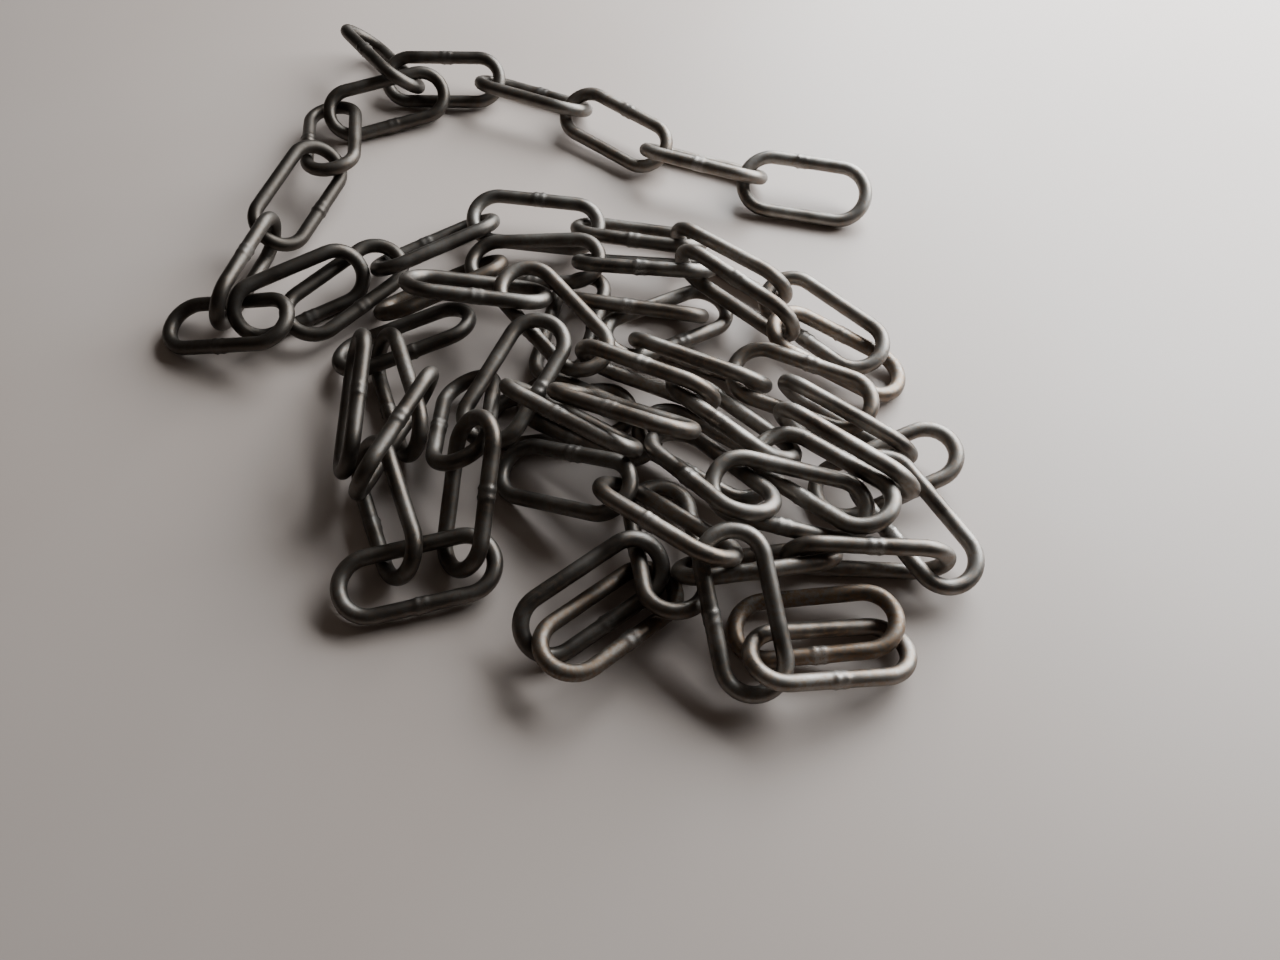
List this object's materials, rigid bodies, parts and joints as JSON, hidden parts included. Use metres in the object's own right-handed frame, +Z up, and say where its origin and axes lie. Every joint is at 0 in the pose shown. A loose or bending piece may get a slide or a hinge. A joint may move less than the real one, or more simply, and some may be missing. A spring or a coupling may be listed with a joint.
{
  "type": "heap of steel chain",
  "caption": "Loose length of bare steel welded chain thrown down in a heap, with a tail laid round its far side.",
  "frame": {"origin": "on the floor, under the middle of the box that holds the heap", "axes": "+Z up from the floor; +Y along the longer side of the heap, from the near rim to the loop of the tail; +X towards the free end link"},
  "size_m": [0.2142, 0.239, 0.0297],
  "materials": {
    "bare_steel": "bare dark mill-scale steel, satin to glossy, with a brown tint and some rust"
  },
  "bodies": {
    "root": {"back_01": "bare_steel", "back_02": "bare_steel", "back_03": "bare_steel", "back_04": "bare_steel", "end_link": "bare_steel", "fold_01": "bare_steel", "fold_02": "bare_steel", "hidden_links": "bare_steel", "left_01": "bare_steel", "left_02": "bare_steel", "left_03": "bare_steel", "left_04": "bare_steel", "left_05": "bare_steel", "left_06": "bare_steel", "left_07": "bare_steel", "left_08": "bare_steel", "left_09": "bare_steel", "loose_01": "bare_steel", "near_01": "bare_steel", "near_02": "bare_steel", "near_03": "bare_steel", "near_04": "bare_steel", "near_05": "bare_steel", "right_01": "bare_steel", "right_02": "bare_steel", "right_03": "bare_steel", "right_04": "bare_steel", "right_05": "bare_steel", "right_06": "bare_steel", "right_07": "bare_steel", "rim_01": "bare_steel", "rim_02": "bare_steel", "rim_03": "bare_steel", "rim_04": "bare_steel", "rim_05": "bare_steel", "rim_06": "bare_steel", "rim_07": "bare_steel", "tail_02": "bare_steel", "tail_03": "bare_steel", "tail_04": "bare_steel", "tail_05": "bare_steel", "tail_06": "bare_steel", "tail_07": "bare_steel", "tail_08": "bare_steel", "tail_09": "bare_steel", "tail_10": "bare_steel", "tail_11": "bare_steel", "tail_12": "bare_steel", "tail_13": "bare_steel", "tail_14": "bare_steel", "tail_15": "bare_steel", "tail_16": "bare_steel", "tail_17": "bare_steel", "top_01": "bare_steel", "top_02": "bare_steel", "top_03": "bare_steel", "top_04": "bare_steel", "top_05": "bare_steel", "top_06": "bare_steel", "top_07": "bare_steel"}
  },
  "joints": []
}
